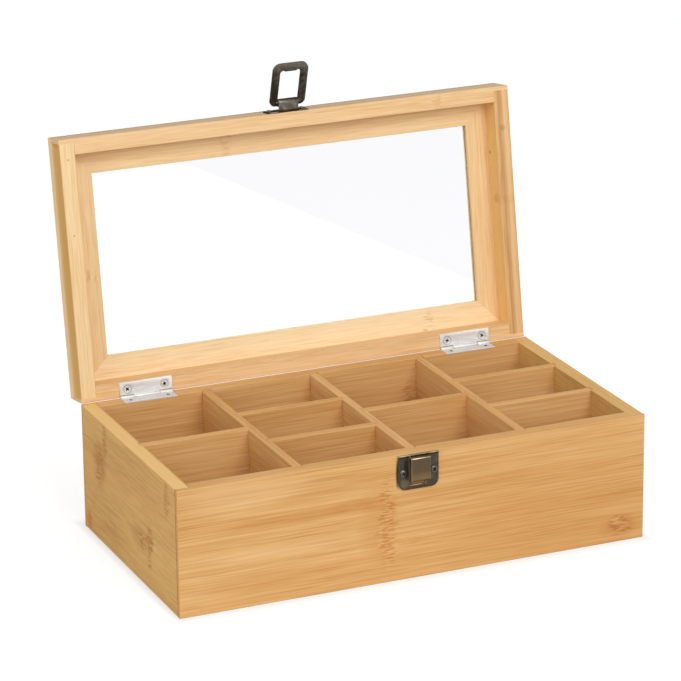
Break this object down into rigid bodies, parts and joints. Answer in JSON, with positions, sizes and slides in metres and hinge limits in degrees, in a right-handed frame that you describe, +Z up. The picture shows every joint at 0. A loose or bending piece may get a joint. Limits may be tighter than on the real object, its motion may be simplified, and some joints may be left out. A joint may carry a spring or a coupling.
{
  "type": "tea bag organizer box",
  "caption": "Bamboo box with divided compartments, a hinged lid with a clear window and a bronze toggle latch on the front.",
  "frame": {"origin": "middle of the underside of the box, on the surface it stands on", "axes": "+X to the right along the box, +Y from the front to the hinges, +Z up"},
  "size_m": [0.335, 0.2371, 0.3015],
  "materials": {
    "bamboo": "satin lacquered bamboo",
    "pane": "clear polished",
    "hinge_steel": "satin nickel plated",
    "latch_bronze": "antique dark bronze"
  },
  "bodies": {
    "box": {"front_panel": "bamboo", "back_panel": "bamboo", "left_panel": "bamboo", "right_panel": "bamboo", "bottom_panel": "bamboo", "left_long_divider": "bamboo", "middle_long_divider": "bamboo", "right_long_divider": "bamboo", "first_column_divider": "bamboo", "second_column_front_divider": "bamboo", "second_column_back_divider": "bamboo", "third_column_divider": "bamboo", "fourth_column_front_divider": "bamboo", "fourth_column_back_divider": "bamboo", "left_hinge_box_leaf": "hinge_steel", "right_hinge_box_leaf": "hinge_steel", "left_hinge_pin": "hinge_steel", "right_hinge_pin": "hinge_steel", "box_hinge_screws": "hinge_steel", "catch_plate": "latch_bronze", "catch_screws": "latch_bronze"},
    "lid": {"lid_front_rim": "bamboo", "lid_back_rim": "bamboo", "lid_left_rim": "bamboo", "lid_right_rim": "bamboo", "window_frame_front": "bamboo", "window_frame_back": "bamboo", "window_frame_left": "bamboo", "window_frame_right": "bamboo", "window_pane": "pane", "left_hinge_lid_leaf": "hinge_steel", "right_hinge_lid_leaf": "hinge_steel", "lid_hinge_screws": "hinge_steel", "latch_plate": "latch_bronze", "latch_screws": "latch_bronze"},
    "bail": {"latch_bail": "latch_bronze"}
  },
  "joints": [
    {"name": "lid_hinge", "type": "hinge", "parent": "box", "child": "lid", "pos_m": [0, 0.09, 0.08785], "axis": [1, 0, 0], "range_deg": [0, 99.2]},
    {"name": "bail_hinge", "type": "hinge", "parent": "lid", "child": "bail", "pos_m": [0.0006, 0.12345, 0.27167], "axis": [1, 0, 0], "range_deg": [-125.5, 72.5]}
  ]
}
